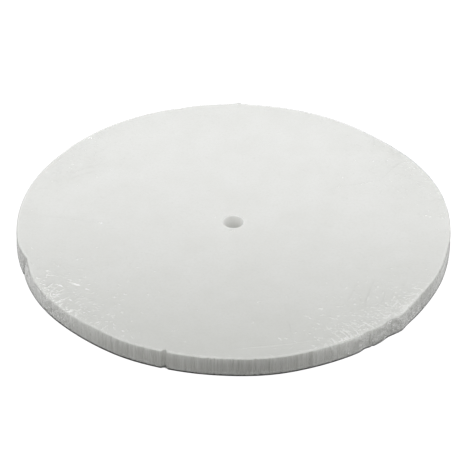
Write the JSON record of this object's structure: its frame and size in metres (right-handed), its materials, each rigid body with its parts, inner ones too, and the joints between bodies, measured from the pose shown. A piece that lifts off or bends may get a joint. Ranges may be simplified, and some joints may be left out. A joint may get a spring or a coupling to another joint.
{
  "type": "felt polishing wheel",
  "caption": "Flat round disc of hard-pressed white wool felt with a plain centre hole for an arbor, still inside its clear shrink-film wrap.",
  "frame": {"origin": "centre of the wrapped underside, on the arbor hole's axis", "axes": "+Z along the arbor hole's axis, out of the upper face; +X and +Y lie in the underside, with the step of the round cut 17 degrees from -Y towards -X"},
  "size_m": [0.4082, 0.4082, 0.0199],
  "materials": {
    "felt": "matte",
    "shrink_film": "gloss",
    "film_seal": "gloss"
  },
  "bodies": {
    "root": {"felt_disc": "felt", "film_upper_web": "shrink_film", "film_lower_web": "shrink_film", "film_seal_bead": "film_seal"}
  },
  "joints": []
}
